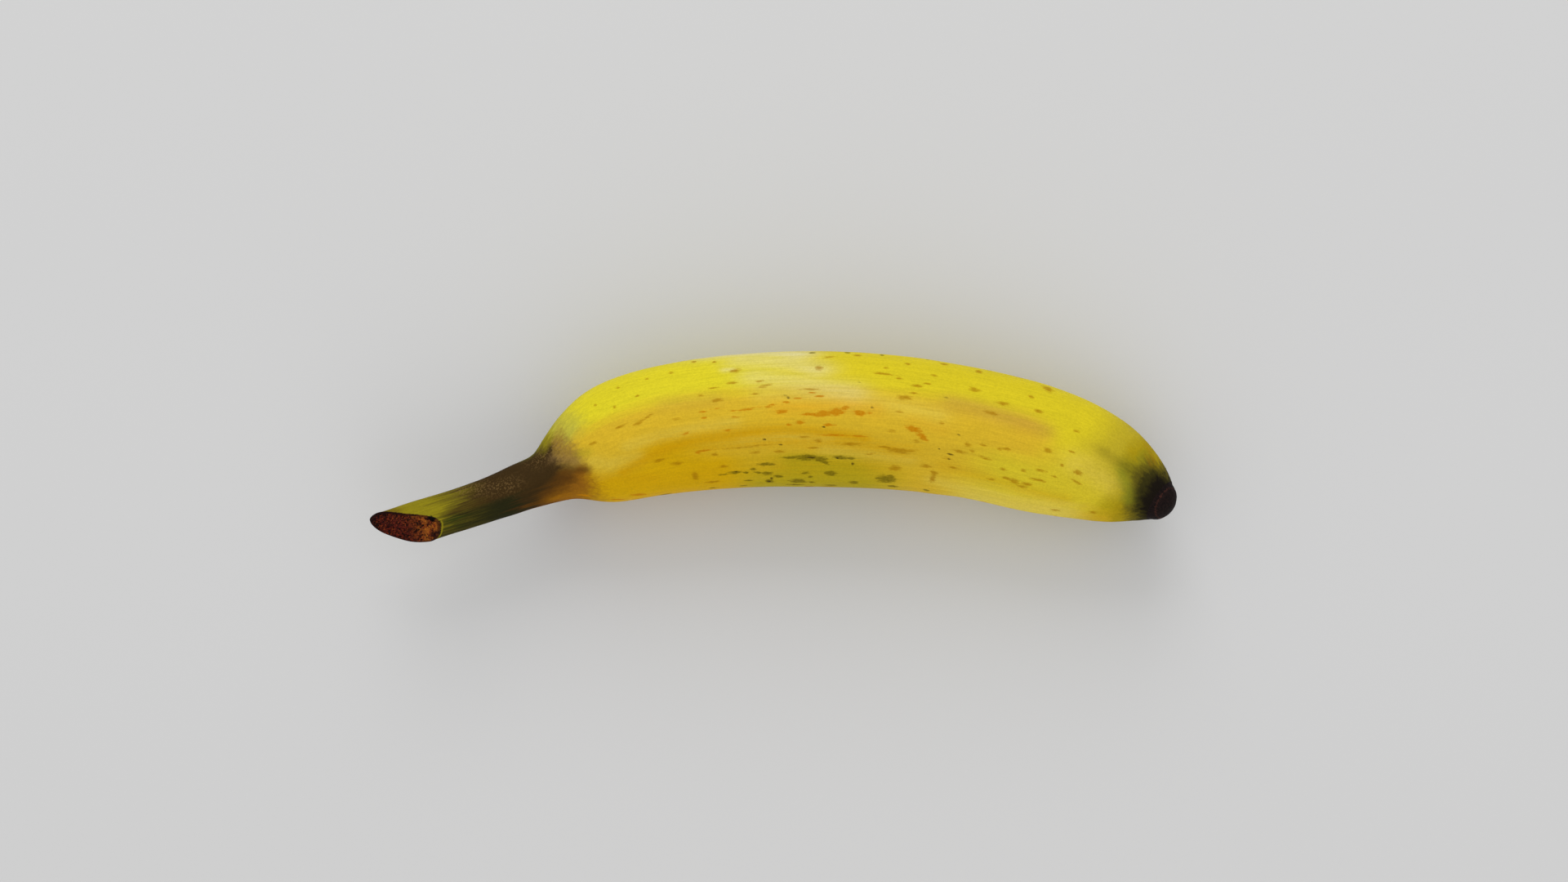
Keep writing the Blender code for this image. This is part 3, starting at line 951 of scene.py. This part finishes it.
BANDS = (  # how far round, from -1 at the back to 1 on the hollow side, and the colours along it in mm
    (-0.94, "olive 12, olive 17, moss 24, bark 32, bark 50.2, olive 54.8, lime 58.2, lemon 66, "
            "lemon 105, corn 130, corn 196, khaki 206, mustard 212, mustard 215.5, moss 218, "
            "dusk 220, soot 222"),
    (-0.62, "olive 14, olive 19, moss 25, bark 33, bark 53.6, tan 57.4, lime 61, lemon 68, "
            "lemon 105, corn 130, corn 195, khaki 205, mustard 210, olive 212, moss 214.2, "
            "dusk 217, soot 220"),
    (-0.28, "olive 17, olive 20, moss 24, bark 30, bark 53, tan 57.5, gold 62.5, gold 178, "
            "corn 190, khaki 204, olive 210, moss 213.4, dusk 216.4, soot 220"),
    (0.05, "olive 19, moss 23, bark 29, bark 53, tan 58, gold 63, gold 180, butter 194, "
           "khaki 207, olive 210.5, moss 213.4, dusk 216.5, soot 220"),
    (0.36, "olive 18.5, moss 21, fern 25, pine 29, pine 36, bark 46, umber 54, russet 58.5, "
           "gold 63, honey 84, gold 104, gold 160, butter 178, butter 206, leaf 210, "
           "olive 212.5, moss 214.7, dusk 217, soot 219.5"),
    (0.66, "moss 18.5, fern 21, pine 26, pine 38, bark 43, umber 49, russet 57, honey 65, "
           "honey 98, ochre 110, leaf 120, leaf 134, ochre 146, gold 156, butter 180, "
           "butter 204, leaf 209, mustard 212, moss 215.8, dusk 218, soot 220"),
    (0.93, "pine 17, pine 38, bark 43, umber 46, russet 53, honey 66, honey 98, leaf 112, "
           "leaf 138, gold 156, wheat 174, wheat 196, ochre 209, mustard 214, moss 217.5, "
           "dusk 219.5, soot 221.5"),
)
RAMP_END = 225.0  # millimetres


def band_ramp(place, text):
    """A colour ramp along the fruit from words such as olive 12, moss 19."""
    ramp = add(tree_of(place), "ShaderNodeValToRGB", {0: place})
    ramp.color_ramp.interpolation = "EASE"
    stops = [part.split() for part in text.split(",")]
    elements = ramp.color_ramp.elements
    elements[0].position = float(stops[0][1]) / RAMP_END
    elements[-1].position = float(stops[-1][1]) / RAMP_END
    for _, at in stops[1:-1]:
        elements.new(float(at) / RAMP_END)
    for element, (name, _) in zip(sorted(elements, key=lambda e: e.position), stops):
        element.color = COLOUR[name]
    return Flow(ramp.outputs[0])


def laid_over(colour, share, paint):
    """Paint from the palette laid over a colour."""
    return colour_mix(share, colour, COLOUR[paint])


# %% Peel material
# How strongly each stroke's paint is laid on; the painted sheen is among them.
STROKE_SHARES = {
    "straw": 0.8, "amber": 0.8, "painted_sheen": 0.8, "flush": 0.7, "bruise": 0.7,
    "greyed": 0.8, "green": 0.75, "orange": 0.8, "umber": 0.85,
}
SPOT_PAINTS = (  # the kind of spot, its paint, how ragged and how soft its edge is, and its strength
    ("faint", "faint", 2.4, 1.15, 0.78),
    ("rust", "rust", 2.0, 0.8, 0.9),
    ("olive", "spot", 2.2, 0.8, 0.8),
    ("dark", "speck", 1.2, 0.8, 0.85),
)


def peel_nodes(material):
    tree, shader, growth = opened(material)
    compass = parts_of(read_field(tree, "compass", "Vector"))
    side = compass["X"] * -1
    along = read_field(tree, "along") * (1 / MM)
    fibres = use_group(FIBRES, growth=growth, width=0.8 * MM, length=16 * MM, seed=2.0)
    fibre, fine_fibre = fibres["Fibre"], fibres["Fine Fibre"]
    broad = use_group(FIBRES, growth=growth, width=2.6 * MM, length=50 * MM, seed=5.0)["Fibre"]
    mottle = use_group(PORES, growth=growth, size=0.55 * MM, seed=1.0)["Mottle"]
    cloud = noise(growth, 14 * MM, detail=3, seed=7.0)

    # The colour bands run along the fruit, and their borders wander a little with the fibres.
    wander = (fibre - 0.5) * (rising(along, 50, 40) * 8.0 + 1.6) + along
    place = ((cloud - 0.5) * 4.0 + wander) / RAMP_END
    drift = (broad - 0.5) * 0.10 + side
    colour = band_ramp(place, BANDS[0][1])
    for (low, _), (high, text) in zip(BANDS, BANDS[1:]):
        colour = colour_mix(rising(drift, low, high), colour, band_ramp(place, text))

    # Strokes are brushed on along the fibres. One of them is a painted sheen, a pale highlight on the back.
    brush = fibre * 0.45 + 0.75
    for tone, share in STROKE_SHARES.items():
        field = read_field(tree, "stroke_" + tone) * brush
        colour = laid_over(colour, sum_of("MULTIPLY", field, share, clamp=True), tone)

    # The streaky zones, the stalk's dark fibres, and light and shade from the fibres and the pores.
    colour = laid_over(colour, read_field(tree, "stroke_streaky") * fine_fibre * 0.6, "amber")
    colour = laid_over(colour, rising(along, 36, 26) * fine_fibre * 0.5, "moss")
    light = fine_fibre * 0.10 + (mottle * 0.12 + (fibre * 0.08 + 0.87))
    colour = colour_mix(1.0, colour, xyz(light, light, light), "MULTIPLY")

    # Brown stipple on the neck and smoke near the tip.
    stipple = use_group(PORES, growth=growth, size=0.5 * MM, seed=9.0)["Mottle"]
    frost = read_field(tree, "stroke_stipple") * rising(stipple, 0.48, 0.82)
    colour = laid_over(colour, frost * 0.36, "greyed")
    smoke = sum_of("MULTIPLY", read_field(tree, "stroke_smoke"), brush, clamp=True)
    colour = laid_over(colour, smoke * 0.85, "pine")

    # Ripeness spots, each cut to a ragged shape.
    marked = 0.0
    for tone, paint, ragged, soft, strength in SPOT_PAINTS:
        field = read_field(tree, "spot_" + tone)
        edge = {"raggedness": ragged, "softness": soft, "grain": 0.5 * MM, "seed": 3.0}
        patch = use_group(RAGGED, field=field, growth=growth, **edge)["Patch"]
        share = patch * strength * (mottle * 0.3 + 0.8)
        colour = laid_over(colour, share, paint)
        marked = sum_of("MAXIMUM", share, marked)

    # The rim of the cut is torn and black on the top side, and brown with a pale lip on the hollow side.
    rim = read_field(tree, "rim") * (1 / MM)
    torn = (cloud - 0.5) * 0.8 + rim
    lip = rising(torn, 0.4, 0.6) * rising(torn, 1.1, 0.8) * rising(side, 0.1, 0.4)
    colour = laid_over(colour, lip * 0.8, "olive")
    colour = laid_over(colour, rising(torn, 0.45, 0.15, 0.9), "umber")
    teeth = rising((fine_fibre - 0.5) * 0.8 + rim, 0.45, 0.05)
    colour = laid_over(colour, teeth * rising(compass["Y"], 0.3, 0.6) * 0.9, "soot")
    colour = laid_over(colour, charred(tree, mottle), "soot")

    on_body = rising(along, 58, 68) * rising(along, 212, 203)
    rough = fibre * 0.06 + (marked * 0.12 + (on_body * -0.16 + 0.62))
    height = marked * -0.8 + (fibre * 0.8 + (fine_fibre * 0.35 + mottle))
    looks = {"Base Color": colour, "Roughness": rough, "Specular IOR Level": 0.035}
    feed(shader, {**looks, "Normal": bumped(height, 0.35, 0.06 * MM)})


peel_nodes(peel)
print("peel has", len(peel.node_tree.nodes), "nodes")

# %% [markdown]
# ## The cut end and the nub
#
# Where the finger was cut from its hand, the stalk dried to a red-brown mat of fibres, nearly black near
# the skin. At the other end the flower left a small dome that dried black, with a thin rust-coloured
# ring where it was joined. Both read the same map of growth, so their grain lines up with the skin's.

# %% Cut material
def cut_nodes(material):
    tree, shader, growth = opened(material)
    pores = use_group(PORES, growth=growth, size=0.45 * MM, seed=4.0)
    fibres = use_group(FIBRES, growth=growth, width=0.5 * MM, length=1.8 * MM, seed=6.0)
    clump = noise(growth, 1.5 * MM, detail=3, roughness=0.6, seed=8.0)
    colour = colour_mix(fibres["Fibre"], COLOUR["maroon"], COLOUR["brick"])
    colour = laid_over(colour, rising(clump, 0.52, 0.40, 0.7), "clot")
    warm = rising(parts_of(growth)["X"], 10 * MM, 17.5 * MM) * rising(clump, 0.38, 0.56)
    colour = laid_over(colour, warm * (fibres["Fine Fibre"] * 0.9 + 0.2), "ember")
    colour = laid_over(colour, pores["Pore"] * 0.3, "pit")
    edge = (clump - 0.5) * 1.2 + read_field(tree, "rim") * (1 / MM)
    colour = laid_over(colour, rising(edge, -0.7, -0.1, 0.8), "scorch")
    colour = laid_over(colour, charred(tree, pores["Mottle"]), "crumb")
    height = pores["Mottle"] * 0.7 + fibres["Fine Fibre"]
    looks = {"Base Color": colour, "Roughness": 0.85, "Specular IOR Level": 0.06}
    feed(shader, {**looks, "Normal": bumped(height, 0.6, 0.15 * MM)})


# %% Nub material
def nub_nodes(material):
    tree, shader, growth = opened(material)
    past = read_field(tree, "along") * (1 / MM) + -CORE_LENGTH / MM
    fibre = use_group(FIBRES, growth=growth, width=0.5 * MM, length=2.0 * MM, seed=3.0)["Fibre"]
    mottle = use_group(PORES, growth=growth, size=0.5 * MM, seed=2.0)["Mottle"]
    # The old flower sat askew, so the ring it left is nearer on the top side.
    compass = parts_of(read_field(tree, "compass", "Vector"))
    askew = compass["X"] * 0.4 + (compass["Y"] * 1.4 + past)
    askew = (mottle - 0.5) * 0.5 + askew
    ring = rising(askew, 2.3, 2.55) * rising(askew, 2.9, 2.6)
    colour = colour_mix(fibre, COLOUR["coal"], COLOUR["cinder"])
    colour = laid_over(colour, ring * (fibre * 0.55 + 0.05), "flower ring")
    height = ring * 1.5 + (fibre * 0.8 + mottle)
    looks = {"Base Color": colour, "Roughness": 0.7, "Specular IOR Level": 0.08}
    feed(shader, {**looks, "Normal": bumped(height, 0.5, 0.12 * MM)})


cut_nodes(cut_flesh)
nub_nodes(dried_nub)
print("materials:", [m.name for m in skin.data.materials])

# %% [markdown]
# ## Strand ends on the cut
#
# A stalk is a bundle of tough strands, and when the flesh between them dries and shrinks their ends
# stand up from the cut like bristles. They repeat, so a tree scatters them: points on the cut's own
# faces, a short tapered stub on each, turned along the cut's normal with a small tilt. Each stub keeps a
# random tone, which its material turns into anything from dark maroon to orange.

# %% Strand tree
def strand_tree():
    inputs = {
        "Skin": "Geometry", "Strands Per Square Metre": "Float", "Radius": "Float", "Height": "Float",
        "Bare Rim": "Float", "Seed": "Int", "Material": "Material",
    }
    tree, given = group_of("Geometry", "scatter_strand_ends", inputs, {"Strands": "Geometry"})
    seed = given["Seed"]

    def random_between(low, high):
        """A random vector for each strand."""
        inputs = {0: low, 1: high, "Seed": seed}
        return flow(tree, "FunctionNodeRandomValue", inputs, data_type="FLOAT_VECTOR")

    inside = sum_of("LESS_THAN", kept(tree, "rim"), given["Bare Rim"] * -1)
    on_cut = inside * sum_of("GREATER_THAN", kept(tree, "cut"), 0.5)
    points = {"Mesh": given["Skin"], "Selection": on_cut, "Seed": seed}
    points["Density"] = given["Strands Per Square Metre"]
    spread = flows(add(tree, "GeometryNodeDistributePointsOnFaces", points))

    cone = {"Vertices": 6, "Side Segments": 2, "Radius Top": given["Radius"] * 0.55}
    cone.update({"Radius Bottom": given["Radius"], "Depth": given["Height"]})
    stub = flow(tree, "GeometryNodeMeshCone", cone, "Mesh")
    stub = passed(stub, "Transform", {"Translation": xyz(z=given["Height"] * -0.45)})
    stub = passed(stub, "SetShadeSmooth")

    tilt = random_between((-0.45, -0.45, 0.0), (0.45, 0.45, 6.28))
    turn = {"Rotation": spread["Rotation"], "Rotate By": tilt}
    turn = flow(tree, "FunctionNodeRotateRotation", turn, rotation_space="LOCAL")
    sizes = random_between((0.6, 0.6, 0.7), (1.5, 1.1, 1.3))
    placing = {"Points": spread["Points"], "Instance": stub, "Rotation": turn, "Scale": sizes}
    strands = flow(tree, "GeometryNodeInstanceOnPoints", placing)
    tone = flow(tree, "FunctionNodeRandomValue", {"Seed": seed}, 1, data_type="FLOAT")
    strands = passed(stored(strands, "tone", tone, domain="INSTANCE"), "RealizeInstances")
    strands = passed(strands, "SetMaterial", {"Material": given["Material"]})
    add(tree, "NodeGroupOutput", {"Strands": strands})
    return tree


# %% Strand material
def strand_nodes(material):
    tree, shader, growth = opened(material)
    bright = (noise(growth, 0.3 * MM) - 0.5) * 0.6 + read_field(tree, "tone")
    colour = colour_mix(rising(bright, 0.1, 1.0), COLOUR["dark strand"], COLOUR["bright strand"])
    feed(shader, {"Base Color": colour, "Roughness": 0.8, "Specular IOR Level": 0.1})


# %% Scatter the strands
strand_fibre = bpy.data.materials.new("strand_fibre")
strand_nodes(strand_fibre)
strands = run_tree(
    "strand_ends", skin.data, strand_tree(),
    strands_per_square_metre=1.6e6, radius=0.22 * MM, height=0.7 * MM, bare_rim=0.5 * MM,
    seed=3, material=strand_fibre,
)
print(len(strands.data.polygons), "faces of strand ends")

# %% [markdown]
# ## Hand over
#
# The skin and the strand ends stand for the whole solid and move with it. The solid stays in the
# scene, unseen. Both boxes are printed.

# %% Ride, replace and finish
for piece in (skin, strands):
    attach(piece, "root")
    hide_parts("banana")

low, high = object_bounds()
for what, span in (("solid", cad_high - cad_low), ("looks", high - low)):
    print(what, "in mm:", [round(c / MM, 1) for c in span])
